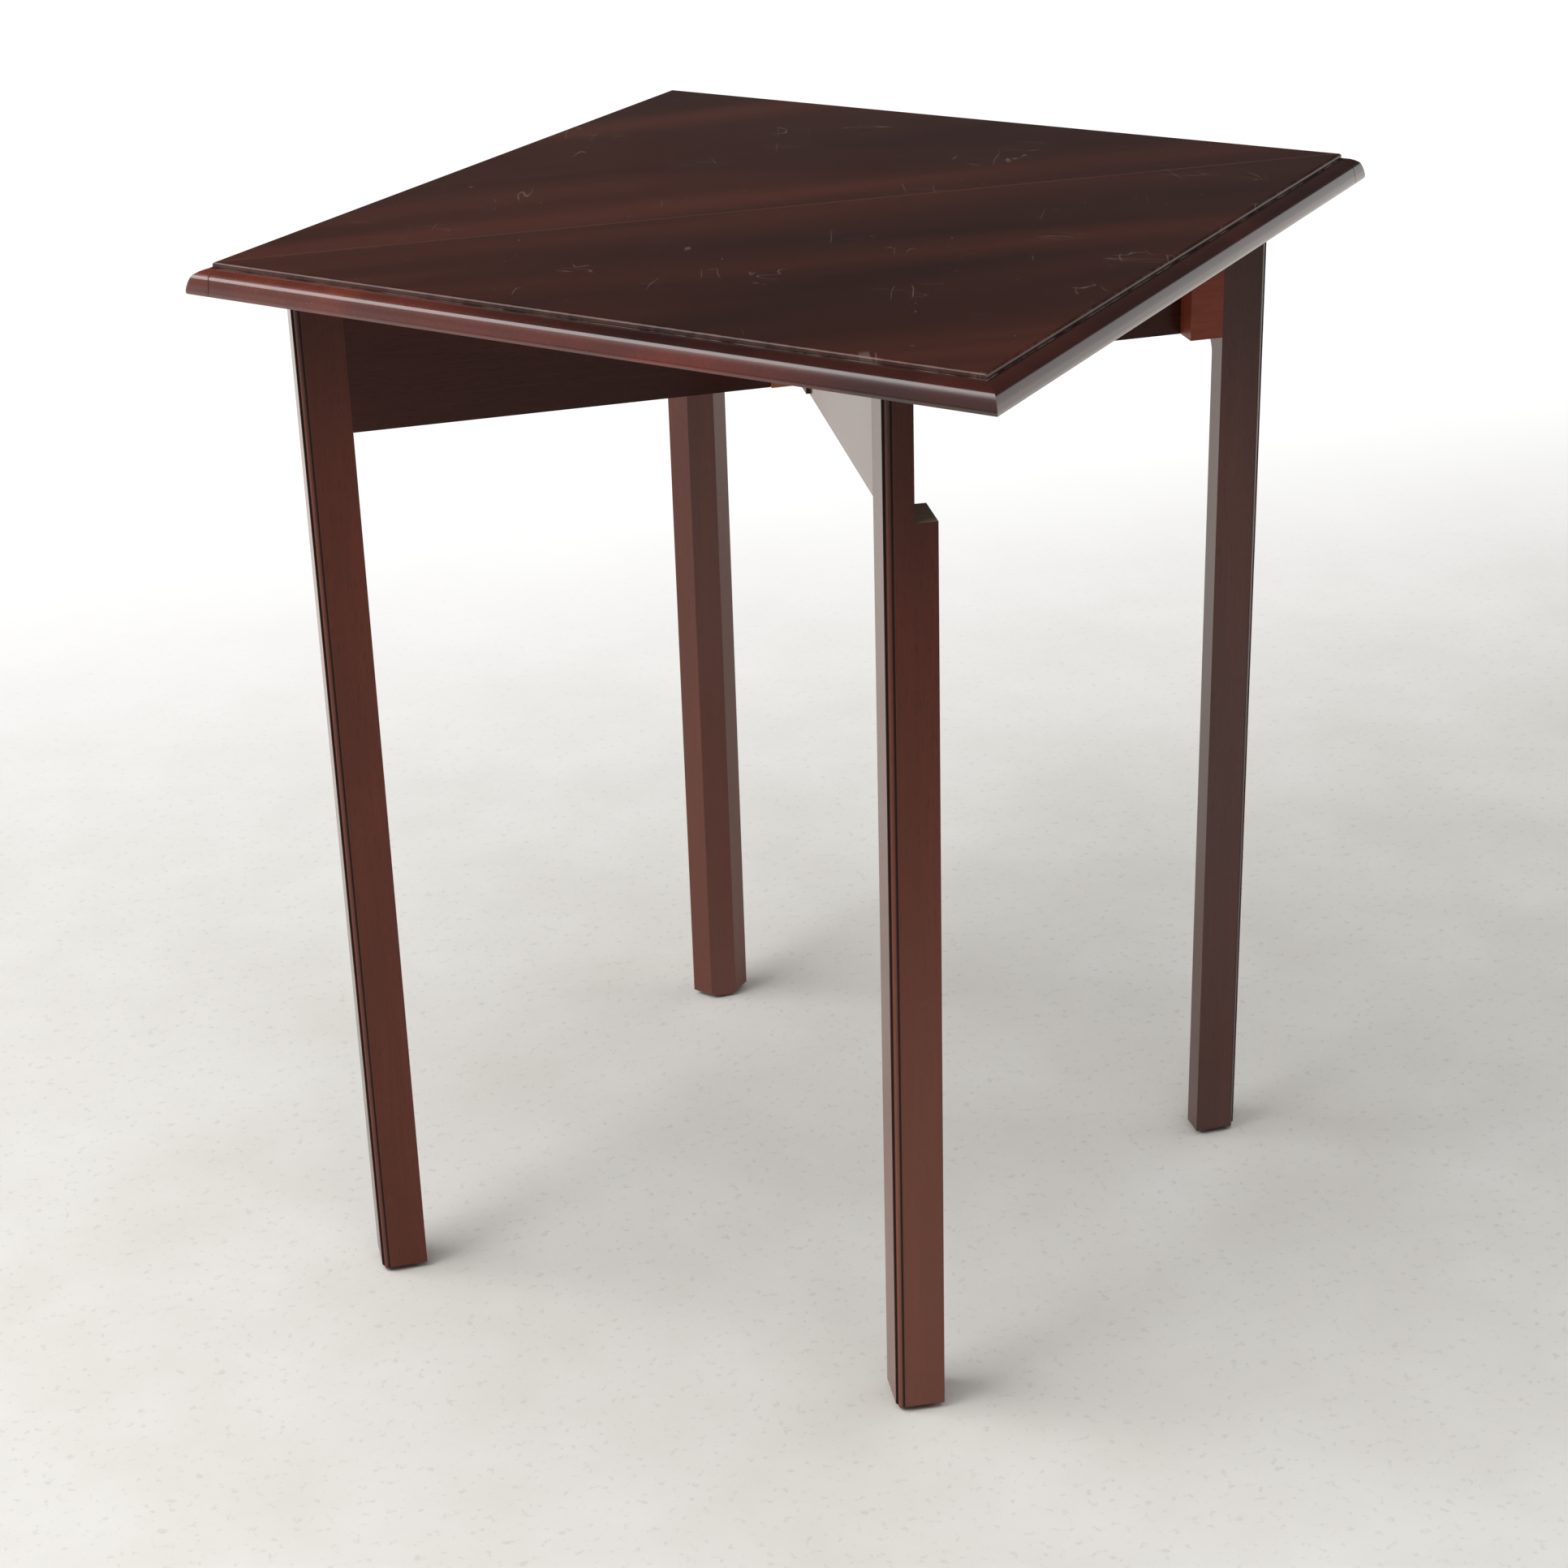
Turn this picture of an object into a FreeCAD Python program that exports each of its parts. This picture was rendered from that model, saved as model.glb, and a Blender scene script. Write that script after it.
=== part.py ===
import FreeCAD, Part
import math
import os
from FreeCAD import Vector

# Handkerchief table: a square top cut on its diagonal into a fixed triangle and a drop leaf.
# Three legs stand under the fixed triangle and the fourth swings out on a wooden-knuckle gate.
# Frame: X along the hinge line, -Y toward the leaf's corner, Z up, origin on the floor under the
# centre of the square top. Every length is in millimetres and every angle in degrees.

# Top board
table_height = 723.0
top_side = 528.0
top_thickness = 17.5
moulding_width = 12.0
field_step = 3.3
field_edge_radius = 1.8
thumb_inset = 3.4
thumb_drop = 6.5
thumb_bow = 0.72
brow_width = 1.2
brow_height = 1.5
brow_bow = 0.11
nose_drop = 15.0
nose_bow = 0.27
foot_tuck = 0.15
foot_bow = 0.14

# Rule joint between the fixed triangle and the leaf
rule_lip = 3.0
rule_clearance = 0.4
seam_gap = 0.5

# Legs
leg_size = 30.5
leg_span = 565.0
leg_setback = 7.5
bead_size = 5.0
bead_quirk = 1.4
chamfer_size = 14.0
chamfer_runout_radius = 16.0
foot_chamfer = 2.5
glide_radius = 9.0
glide_thickness = 2.0

# Rails
rail_height = 99.0
side_rail_thickness = 18.0
side_rail_inset = 1.0
side_rail_cover = 15.2
fly_thickness = 17.0
stop_block_width = 22.0
tenon_thickness = 6.0
tenon_length = 12.0
tenon_haunch = 12.0
tenon_split = 4.0
joint_clearance = 0.1

# Gate and its wooden knuckle
pivot_offset = 9.0
gate_open_angle = 94.5
gate_gap = 0.5
gate_top_clearance = 0.4
stop_clearance = 1.0
notch_drop = 6.5
knuckle_reach = 29.0
knuckle_proud = 2.0
knuckle_fingers = 5
knuckle_finger_gap = 0.3
knuckle_hollow_gap = 0.4
knuckle_stop_relief = 0.8
knuckle_tongue_length = 16.0
knuckle_pin_radius = 3.0
knuckle_pin_inset = 2.0
pin_clearance = 0.05

# Back-flap hinges, let in flush under the rule joint
hinge_offset = 175.0
hinge_length = 39.0
hinge_knuckles = 3
hinge_barrel_radius = 2.5
hinge_pin_radius = 1.2
hinge_plate_thickness = 1.6
hinge_top_flap = 25.0
hinge_leaf_flap = 44.0
hinge_knuckle_gap = 0.3
hinge_barrel_room = 0.5
hinge_lift_room = 0.7
hinge_hole_radius = 1.5
hinge_countersink_radius = 2.9
hinge_hole_row = 9.0
hinge_hole_margin = 6.5

# Glue blocks that hold the top to the side rails
glue_block_length = 46.0
glue_block_size = 18.0
glue_block_chamfer = 6.0

# Places worked out from the sizes above
root_two = math.sqrt(2.0)
cut_margin = 5.0
half_side = top_side / 2
half_diagonal = half_side * root_two
underside = table_height - top_thickness
rail_bottom = underside - rail_height
half_span = leg_span / 2
leg_back = leg_setback + leg_size
fly_back = leg_setback + fly_thickness
inner_front = fly_back + gate_gap
axis_height = underside + hinge_barrel_radius
rule_radius = top_thickness - hinge_barrel_radius - rule_lip
cove_radius = rule_radius + rule_clearance
knuckle_front = leg_setback - knuckle_proud
knuckle_radius = (fly_back - knuckle_front) / 2
pivot_depth = knuckle_front + knuckle_radius
gate_top = underside - gate_top_clearance
gate_reach = half_span - stop_block_width - stop_clearance
gate_leg_near = gate_reach - leg_size
notch_bottom = rail_bottom - notch_drop
tenon_bottom = rail_bottom + tenon_haunch
tenon_top = underside - tenon_haunch
tenon_middle = (tenon_bottom + tenon_top) / 2
side_rail_outer = (half_span + side_rail_cover + leg_back) / root_two
side_rail_inner = side_rail_outer - side_rail_thickness
back_leg_corner = (side_rail_outer + side_rail_inset) * root_two
back_leg_distance = back_leg_corner - leg_size / root_two


def save(shape, name):
    shape.exportStep("parts/" + name + ".step")


def box(low, high):
    low = Vector(*low)
    size = Vector(*high) - low
    return Part.makeBox(size.x, size.y, size.z, low)


def cylinder(radius, start, end):
    start = Vector(*start)
    span = Vector(*end) - start
    return Part.makeCylinder(radius, span.Length, start, span)


def prism(points, bottom, top):
    corners = [Vector(x, y, bottom) for x, y in points]
    face = Part.Face(Part.makePolygon(corners + corners[:1]))
    return face.extrude(Vector(0, 0, top - bottom))


def bowed(start, end, bow):
    chord = end - start
    side = Vector(chord.z, 0, -chord.x)
    side.normalize()
    middle = (start + end) * 0.5 + side * bow
    return Part.Arc(start, middle, end).toShape()


def straight(start, end):
    return Part.LineSegment(start, end).toShape()


def turned(shape, angle, place=(0, 0, 0)):
    copy = shape.copy()
    copy.rotate(Vector(0, 0, 0), Vector(0, 0, 1), angle)
    copy.translate(Vector(*place))
    return copy


def mirrored(shape):
    return shape.mirror(Vector(0, 0, 0), Vector(1, 0, 0))


# Moulded square top, before it is cut on the diagonal
def edge_profile(side):
    field = half_side - moulding_width
    foot = Vector(side * (half_side - foot_tuck), 0, underside)
    nose = Vector(side * half_side, 0, table_height - nose_drop)
    thumb = Vector(side * (half_side - thumb_inset), 0, table_height - thumb_drop)
    brow = thumb + Vector(side * brow_width, 0, -brow_height)
    quirk = Vector(side * field, 0, table_height - field_step)
    arris = Vector(side * field, 0, table_height - field_edge_radius)
    flat = Vector(side * (field - field_edge_radius), 0, table_height)
    inset = field_edge_radius * (1 - 1 / root_two)
    round_middle = Vector(side * (field - inset), 0, table_height - inset)
    edges = [
        bowed(foot, nose, side * foot_bow),
        bowed(nose, brow, side * nose_bow),
        bowed(brow, thumb, side * brow_bow),
        bowed(thumb, quirk, side * thumb_bow),
        straight(quirk, arris),
        Part.Arc(arris, round_middle, flat).toShape(),
    ]
    return foot, flat, edges


def moulded_square():
    right_foot, right_flat, right_edges = edge_profile(1)
    left_foot, left_flat, left_edges = edge_profile(-1)
    outline = right_edges + left_edges
    outline += [straight(left_foot, right_foot), straight(left_flat, right_flat)]
    face = Part.Face(Part.Wire(Part.__sortEdges__(outline)))
    bar = face.extrude(Vector(0, 2 * half_diagonal, 0))
    bar.translate(Vector(0, -half_diagonal, 0))
    return turned(bar, 45).common(turned(bar, -45))


def rule_cylinder(radius):
    reach = half_diagonal + cut_margin
    return cylinder(radius, (-reach, 0, axis_height), (reach, 0, axis_height))


def hinge_room(center, front, back, height):
    half = hinge_length / 2 + joint_clearance
    return box((center - half, front, underside - cut_margin), (center + half, back, underside + height))


def hinge_hole_places(center, side, first):
    # Three screw holes in a flap: two in the outer row and one in the inner row.
    across = hinge_length / 2 - hinge_hole_margin
    second = first + hinge_hole_row
    return [(center - across, side * second), (center, side * first), (center + across, side * second)]


hinge_centers = {"left": -hinge_offset, "right": hinge_offset}
top_hole_row = hinge_barrel_radius + hinge_countersink_radius + hinge_knuckle_gap
leaf_hole_row = cove_radius + hinge_countersink_radius + hinge_hole_row


def make_fixed_top(square):
    reach = half_diagonal + cut_margin
    half = box((-reach, 0, underside - cut_margin), (reach, reach, table_height + cut_margin))
    nose = square.common(rule_cylinder(rule_radius))
    top = square.common(half).fuse(nose).removeSplitter()
    for center in hinge_centers.values():
        room = hinge_barrel_radius + hinge_barrel_room
        plate = hinge_plate_thickness + joint_clearance
        top = top.cut(hinge_room(center, 0, hinge_top_flap + joint_clearance, plate))
        top = top.cut(hinge_room(center, -room, room, hinge_barrel_radius + room))
        top = top.cut(hinge_room(center, -cove_radius, 0, hinge_plate_thickness + hinge_lift_room))
    return top


def make_leaf(square):
    reach = half_diagonal + cut_margin
    half = box((-reach, -reach, underside - cut_margin), (reach, -seam_gap, table_height + cut_margin))
    leaf = square.common(half).cut(rule_cylinder(cove_radius))
    for center in hinge_centers.values():
        plate = hinge_plate_thickness + joint_clearance
        leaf = leaf.cut(hinge_room(center, -hinge_leaf_flap - joint_clearance, 0, plate))
    return leaf


# Hinges: the top plate carries the two outer knuckles and the leaf plate the middle one
def hinge_plate(center, side, flap, knuckles, first_row):
    left = center - hinge_length / 2
    right = center + hinge_length / 2
    step = hinge_length / hinge_knuckles
    last = hinge_knuckles - 1
    clear = hinge_barrel_radius + hinge_knuckle_gap
    near, far = sorted((0, side * flap))
    plate = box((left, near, underside), (right, far, underside + hinge_plate_thickness))
    for index in range(hinge_knuckles):
        start = left + index * step
        end = start + step
        if index in knuckles:
            low = start + (hinge_knuckle_gap if index > 0 else 0)
            high = end - (hinge_knuckle_gap if index < last else 0)
            plate = plate.fuse(cylinder(hinge_barrel_radius, (low, 0, axis_height), (high, 0, axis_height)))
        else:
            low = start - (hinge_knuckle_gap if index > 0 else cut_margin)
            high = end + (hinge_knuckle_gap if index < last else cut_margin)
            plate = plate.cut(box((low, -clear, underside - cut_margin), (high, clear, axis_height)))
    bore = cylinder(hinge_pin_radius + pin_clearance, (left, 0, axis_height), (right, 0, axis_height))
    plate = plate.removeSplitter().cut(bore)
    for x, y in hinge_hole_places(center, side, first_row):
        hole = Part.makeCone(hinge_countersink_radius, hinge_hole_radius, hinge_plate_thickness,
                             Vector(x, y, underside))
        plate = plate.cut(hole)
    return plate


def make_hinges():
    top_knuckles = range(0, hinge_knuckles, 2)
    leaf_knuckles = range(1, hinge_knuckles, 2)
    for name, center in hinge_centers.items():
        top_plate = hinge_plate(center, 1, hinge_top_flap, top_knuckles, top_hole_row)
        leaf_plate = hinge_plate(center, -1, hinge_leaf_flap, leaf_knuckles, leaf_hole_row)
        save(top_plate, name + "_hinge_top_plate")
        save(leaf_plate, name + "_hinge_leaf_plate")
        half = hinge_length / 2
        pin = cylinder(hinge_pin_radius, (center - half, 0, axis_height), (center + half, 0, axis_height))
        save(pin, name + "_hinge_pin")


# Legs: an ovolo between two quirks on the outer corner
def leg_bar(top):
    # The moulded corner is at the origin and the leg fills the first quadrant.
    ovolo = bead_size - bead_quirk
    middle = bead_size - ovolo / root_two
    points = [
        Vector(bead_size, bead_quirk, 0),
        Vector(bead_size, 0, 0),
        Vector(leg_size, 0, 0),
        Vector(leg_size, leg_size, 0),
        Vector(0, leg_size, 0),
        Vector(0, bead_size, 0),
        Vector(bead_quirk, bead_size, 0),
    ]
    edges = [straight(a, b) for a, b in zip(points, points[1:])]
    edges.append(Part.Arc(points[-1], Vector(middle, middle, 0), points[0]).toShape())
    face = Part.Face(Part.Wire(edges))
    bar = face.extrude(Vector(0, 0, top - glide_thickness))
    bar.translate(Vector(0, 0, glide_thickness))
    return eased_foot(bar)


def eased_foot(bar):
    # A small chamfer round the bottom of the leg.
    corners = [
        Vector(-cut_margin, 0, glide_thickness),
        Vector(-cut_margin, foot_chamfer, glide_thickness),
        Vector(-cut_margin, 0, glide_thickness + foot_chamfer),
    ]
    face = Part.Face(Part.makePolygon(corners + corners[:1]))
    wedge = face.extrude(Vector(leg_size + 2 * cut_margin, 0, 0))
    middle = Vector(leg_size / 2, leg_size / 2, 0)
    for quarter in range(4):
        cutter = wedge.copy()
        cutter.rotate(middle, Vector(0, 0, 1), 90 * quarter)
        bar = bar.cut(cutter)
    return bar


def chamfer_cutter():
    # Stopped chamfer on the corner opposite the bead, scooped out just under the rails.
    depth = chamfer_size / root_two
    rise = math.sqrt(depth * (2 * chamfer_runout_radius - depth))
    turn = math.acos(1 - depth / chamfer_runout_radius) / 2
    start = rail_bottom - rise
    half_width = leg_size
    corner = leg_size * root_two

    def at(inward, height):
        along = (corner - inward) / root_two
        return Vector(along + half_width / root_two, along - half_width / root_two, height)

    inside = depth - chamfer_runout_radius * (1 - math.cos(turn))
    middle = start + chamfer_runout_radius * math.sin(turn)
    scoop = Part.Arc(at(depth, start), at(inside, middle), at(0, rail_bottom))
    edges = [
        straight(at(-cut_margin, 0), at(depth, 0)),
        straight(at(depth, 0), at(depth, start)),
        scoop.toShape(),
        straight(at(0, rail_bottom), at(-cut_margin, rail_bottom)),
        straight(at(-cut_margin, rail_bottom), at(-cut_margin, 0)),
    ]
    face = Part.Face(Part.Wire(edges))
    return face.extrude(Vector(-1, 1, 0) * (2 * half_width / root_two))


def tenon_room(tenon, grow):
    # A mortise is its tenon's box grown by the joint's clearance.
    low, high = tenon
    return [c - grow for c in low], [c + grow for c in high]


def inner_tenon():
    # It takes the lower half of the right leg, under the side rail's tenon.
    middle = (inner_front + leg_back) / 2
    low = (half_span, middle - tenon_thickness / 2, tenon_bottom)
    high = (half_span + tenon_length, middle + tenon_thickness / 2, tenon_middle - tenon_split / 2)
    return low, high


def fly_tenon():
    middle = (leg_setback + fly_back) / 2
    low = (-half_span - tenon_length, middle - tenon_thickness / 2, tenon_bottom)
    high = (-half_span, middle + tenon_thickness / 2, tenon_top)
    return low, high


def side_tenon():
    # Tenon of a side rail's mitred end, in the back face of the right leg.
    outer = side_rail_outer * root_two - leg_back
    middle = (half_span + outer) / 2
    low = (middle - tenon_thickness / 2, leg_back - tenon_length, tenon_middle + tenon_split / 2)
    high = (middle + tenon_thickness / 2, leg_back, tenon_top)
    return low, high


def back_tenon():
    # Tenon at the back leg, in a frame whose X runs along the right side rail toward the right leg.
    start = leg_size / 2
    middle = -leg_size / 2 + side_rail_inset + side_rail_thickness / 2
    low = (start - tenon_length, -middle - tenon_thickness / 2, tenon_bottom)
    high = (start, -middle + tenon_thickness / 2, tenon_top)
    return low, high


def make_legs():
    bar = leg_bar(underside)
    shaped = bar.cut(chamfer_cutter())
    left = shaped.copy()
    left.translate(Vector(-half_span - leg_size, leg_setback, 0))
    right = mirrored(left)
    right = right.cut(box(*tenon_room(inner_tenon(), joint_clearance)))
    right = right.cut(box(*tenon_room(side_tenon(), joint_clearance)))
    left = mirrored(right).cut(box(*tenon_room(fly_tenon(), joint_clearance)))
    back = turned(shaped, -135, (0, back_leg_corner, 0))
    mortise = turned(box(*tenon_room(back_tenon(), joint_clearance)), -45, (0, back_leg_distance, 0))
    back = back.cut(mortise).cut(mirrored(mortise))
    save(left, "left_leg")
    save(right, "right_leg")
    save(back, "back_leg")


def glide(x, y):
    return cylinder(glide_radius, (x, y, 0), (x, y, glide_thickness))


def make_frame_glides():
    middle = half_span + leg_size / 2
    depth = leg_setback + leg_size / 2
    glides = [glide(-middle, depth), glide(middle, depth), glide(0, back_leg_distance)]
    save(Part.makeCompound(glides), "frame_glides")


# Side rails run at 45 degrees from the back leg to the side legs' back faces
def along_side(along, across):
    # Place on the right side rail: along from the back leg's face, across inward from its outer face.
    outward = Vector(1, 1, 0) * (1 / root_two)
    forward = Vector(1, -1, 0) * (1 / root_two)
    face_along = back_leg_distance / root_two - leg_size / 2
    return outward * (side_rail_outer - across) - forward * (face_along - along)


def make_side_rails():
    near_outer = along_side(0, 0)
    near_inner = along_side(0, side_rail_thickness)
    far_outer = (side_rail_outer * root_two - leg_back, leg_back)
    far_inner = (side_rail_inner * root_two - leg_back, leg_back)
    outline = [(near_outer.x, near_outer.y), far_outer, far_inner, (near_inner.x, near_inner.y)]
    rail = prism(outline, rail_bottom, underside)
    rail = rail.fuse(box(*side_tenon()))
    rail = rail.fuse(turned(box(*back_tenon()), -45, (0, back_leg_distance, 0)))
    rail = rail.removeSplitter()
    save(rail, "right_side_rail")
    save(mirrored(rail), "left_side_rail")


def side_rail_length():
    end = Vector(side_rail_inner * root_two - leg_back, leg_back, 0)
    return (end - along_side(0, side_rail_thickness)).Length


def glue_block_places():
    # Name and middle of each block, spaced evenly along the side rails' inner faces.
    names = ("back", "front")
    step = side_rail_length() / (len(names) + 1)
    places = []
    for index, name in enumerate(names):
        point = along_side(step * (index + 1), side_rail_thickness + glue_block_size / 2)
        places.append(("right_" + name, point.x, point.y))
        places.append(("left_" + name, -point.x, point.y))
    return places


def glue_block():
    # One block at the origin, with its free lower edge chamfered.
    bottom = underside - glue_block_size
    end = glue_block_length / 2
    side = glue_block_size / 2
    block = box((-end, -side, bottom), (end, side, underside))
    corners = [
        Vector(-end, -side, bottom),
        Vector(-end, -side + glue_block_chamfer, bottom),
        Vector(-end, -side, bottom + glue_block_chamfer),
    ]
    cutter = Part.Face(Part.makePolygon(corners + corners[:1])).extrude(Vector(glue_block_length, 0, 0))
    return block.cut(cutter)


def make_glue_blocks():
    block = glue_block()
    for name, x, y in glue_block_places():
        angle = -45 if x > 0 else 45
        save(turned(block, angle, (x, y, 0)), "glue_block_" + name)


# Diagonal front: inner rail, fly rail, stop block
def make_diagonal():
    inner = box((-half_span, inner_front, rail_bottom), (half_span, leg_back, underside))
    tenon = box(*inner_tenon())
    inner = inner.fuse(tenon).fuse(mirrored(tenon)).removeSplitter()
    end = pivot_offset - knuckle_reach - joint_clearance
    fly = box((-half_span, leg_setback, rail_bottom), (end, inner_front, underside))
    fly = fly.fuse(box(*fly_tenon())).removeSplitter()
    fly = fly.cut(box(*tenon_room(fixed_tongue(), joint_clearance)))
    stop_start = half_span - stop_block_width
    stop = box((stop_start, leg_setback, rail_bottom), (half_span, inner_front, underside))
    save(inner, "inner_rail")
    save(fly, "fly_rail")
    save(stop, "stop_block")


# Wooden knuckle: interleaved round fingers with bevelled shoulders that stop the gate when it is open
def fixed_tongue():
    middle = (leg_setback + fly_back) / 2
    end = pivot_offset - knuckle_reach
    low = (end - knuckle_tongue_length, middle - tenon_thickness / 2, rail_bottom)
    high = (end, middle + tenon_thickness / 2, underside)
    return low, high


def gate_tongue():
    low, high = fixed_tongue()
    flipped_low = (2 * pivot_offset - high[0], low[1], rail_bottom)
    flipped_high = (2 * pivot_offset - low[0], high[1], gate_top)
    return flipped_low, flipped_high


def finger_levels():
    step = (underside - rail_bottom) / knuckle_fingers
    starts = [rail_bottom + index * step for index in range(knuckle_fingers)]
    return [(start, start + step) for start in starts]


def knuckle_block(side, top, own_levels):
    # side is -1 for the fixed block, which reaches toward -X, and 1 for the gate's block.
    bevel = math.radians((180 - gate_open_angle - knuckle_stop_relief) / 2)
    neck = knuckle_radius / math.tan(bevel)
    x, y = pivot_offset, pivot_depth
    front, back = knuckle_front, fly_back
    end = x + side * knuckle_reach
    outline = [(x, y), (x + side * neck, front), (end, front), (end, back), (x + side * neck, back)]
    block = prism(outline, rail_bottom, top)
    hollow = knuckle_radius + knuckle_hollow_gap
    for index, (low, high) in enumerate(finger_levels()):
        high = min(high, top)
        if index in own_levels:
            start = low + (knuckle_finger_gap / 2 if index > 0 else 0)
            stop = high - (knuckle_finger_gap / 2 if index < knuckle_fingers - 1 else 0)
            block = block.fuse(cylinder(knuckle_radius, (x, y, start), (x, y, stop)))
        else:
            start = low - (knuckle_finger_gap / 2 if index > 0 else cut_margin)
            stop = high + (knuckle_finger_gap / 2 if index < knuckle_fingers - 1 else cut_margin)
            block = block.cut(cylinder(hollow, (x, y, start), (x, y, stop)))
    bore_radius = knuckle_pin_radius + pin_clearance
    bore = cylinder(bore_radius, (x, y, rail_bottom - cut_margin), (x, y, underside + cut_margin))
    return block.cut(bore).removeSplitter()


def make_knuckle():
    fixed_levels = range(0, knuckle_fingers, 2)
    gate_levels = range(1, knuckle_fingers, 2)
    fixed = knuckle_block(-1, underside, fixed_levels).fuse(box(*fixed_tongue())).removeSplitter()
    gate = knuckle_block(1, gate_top, gate_levels).fuse(box(*gate_tongue())).removeSplitter()
    pin = cylinder(knuckle_pin_radius, (pivot_offset, pivot_depth, rail_bottom),
                   (pivot_offset, pivot_depth, underside - knuckle_pin_inset))
    save(fixed, "fixed_knuckle")
    save(opened(gate), "gate_knuckle")
    save(pin, "knuckle_pin")


# Gate, drawn closed against the inner rail and then swung open on the knuckle
def opened(shape):
    copy = shape.copy()
    copy.rotate(Vector(pivot_offset, pivot_depth, 0), Vector(0, 0, 1), -gate_open_angle)
    return copy


def gate_rail_tenon():
    middle = (leg_setback + fly_back) / 2
    low = (gate_leg_near, middle - tenon_thickness / 2, tenon_bottom)
    high = (gate_leg_near + tenon_length, middle + tenon_thickness / 2, tenon_top)
    return low, high


def make_gate():
    start = pivot_offset + knuckle_reach + joint_clearance
    rail = box((start, leg_setback, rail_bottom), (gate_leg_near, fly_back, gate_top))
    rail = rail.fuse(box(*gate_rail_tenon())).removeSplitter()
    rail = rail.cut(box(*tenon_room(gate_tongue(), joint_clearance)))
    leg = turned(leg_bar(gate_top), 90, (gate_reach, leg_setback, 0))
    notch = box((gate_leg_near - cut_margin, fly_back, notch_bottom),
                (gate_reach + cut_margin, leg_back + cut_margin, gate_top + cut_margin))
    leg = leg.cut(notch).cut(box(*tenon_room(gate_rail_tenon(), joint_clearance)))
    pad = glide(gate_reach - leg_size / 2, leg_setback + leg_size / 2)
    save(opened(rail), "gate_rail")
    save(opened(leg), "gate_leg")
    save(opened(pad), "gate_glide")


os.makedirs("parts", exist_ok=True)
square_top = moulded_square()
save(make_fixed_top(square_top), "fixed_top")
save(make_leaf(square_top), "leaf")
make_hinges()
make_legs()
make_frame_glides()
make_side_rails()
make_glue_blocks()
make_diagonal()
make_knuckle()
make_gate()
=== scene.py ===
import math
from collections import namedtuple
import bpy
from mathutils import Matrix, Vector


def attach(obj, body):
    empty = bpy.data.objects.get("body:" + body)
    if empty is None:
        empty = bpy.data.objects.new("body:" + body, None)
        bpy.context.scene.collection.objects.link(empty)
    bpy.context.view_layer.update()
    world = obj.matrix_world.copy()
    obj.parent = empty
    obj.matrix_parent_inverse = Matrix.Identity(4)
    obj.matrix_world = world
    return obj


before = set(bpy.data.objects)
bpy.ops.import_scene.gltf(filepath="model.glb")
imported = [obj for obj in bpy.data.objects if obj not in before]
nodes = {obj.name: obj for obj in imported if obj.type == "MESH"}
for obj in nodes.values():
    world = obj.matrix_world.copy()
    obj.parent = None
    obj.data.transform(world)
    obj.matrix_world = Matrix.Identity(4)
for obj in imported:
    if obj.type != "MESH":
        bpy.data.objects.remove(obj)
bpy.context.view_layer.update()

# Photograph and camera, in pixels, degrees and metres
PHOTO_SIZE = 1932
FOCAL_PIXELS = 3524.67
CENTRE_PIXEL = (882.85, 758.03)
CAMERA_AZIMUTH = -12.695
CAMERA_ELEVATION = 22.489
CAMERA_ROLL = -2.243
CAMERA_DISTANCE = 1.7463
CAMERA_SIDE = -0.0511
CAMERA_LIFT = -0.2502
SENSOR_WIDTH = 36.0
HALF_FRAME = 0.5

# Sizes of the table that the finishes follow, in metres and degrees
TABLE_HEIGHT = 0.723
FIELD_HALF_SIDE = 0.252
GATE_OPEN_ANGLE = 94.5
NOTCH_LEDGE_HEIGHT = 0.600
NOTCH_LEDGE_SLOT = 1
FACING_UP = 0.9
BEAD_SIZE = 0.005
BEAD_QUIRK = 0.0014
# Moulded corner of the left, right, back and gate legs, with the turn of the leg about it
LEG_CORNERS = (
    ((-0.313, 0.0075), 0.0),
    ((0.313, 0.0075), 90.0),
    ((0.0, 0.3371), -135.0),
    ((-0.01813, -0.23414), 90.0 - GATE_OPEN_ANGLE),
)

# Eased arrises, in metres and degrees
EASED_PIECES = ("inner_rail", "fly_rail", "left_side_rail", "right_side_rail", "gate_rail", "stop_block")
EDGE_EASE = 0.0003
WELD_DISTANCE = 0.00001
BEVEL_SEGMENTS = 2
SHARP_ANGLE = 35.0

# Screws of the back-flap hinges, in metres, with the slots' turns in radians
UNDERSIDE_HEIGHT = 0.7055
HINGE_CENTRES = (-0.175, 0.175)
HINGE_SCREW_SPREAD = 0.013
TOP_SCREW_ROWS = (0.0057, 0.0147)
LEAF_SCREW_ROWS = (-0.0243, -0.0333)
SCREW_SIDES = 32
SCREW_HEAD_RADIUS = 0.0028
SCREW_NECK_RADIUS = 0.0014
SCREW_HEAD_DEPTH = 0.0014
SCREW_SLOT_LENGTH = 4 * SCREW_HEAD_RADIUS
SCREW_SLOT_WIDTH = 0.0007
SCREW_SLOT_DEPTH = 0.0006
SCREW_RIM = SCREW_SLOT_WIDTH / 6
SLOT_TURN_BY_SCREW = 0.9
SLOT_TURN_BY_ROW = 60.0

# Way that the grain runs, in radians, and the place of the top's boards in it
ALONG_X = (0.0, 0.0, 0.0)
ALONG_Z = (0.0, math.radians(90.0), 0.0)
ALONG_GATE = (0.0, 0.0, math.radians(GATE_OPEN_ANGLE))
ALONG_LEFT_SIDE = (0.0, 0.0, math.radians(-45.0))
ALONG_RIGHT_SIDE = (0.0, 0.0, math.radians(45.0))
TOP_TURN = (0.0, 0.0, math.radians(-4.0))
NO_SHIFT = (0.0, 0.0, 0.0)
TOP_SHIFT = (3.7, 1.31, 0.0)
LEAF_SHIFT = (0.6, 1.20, 0.0)

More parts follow.
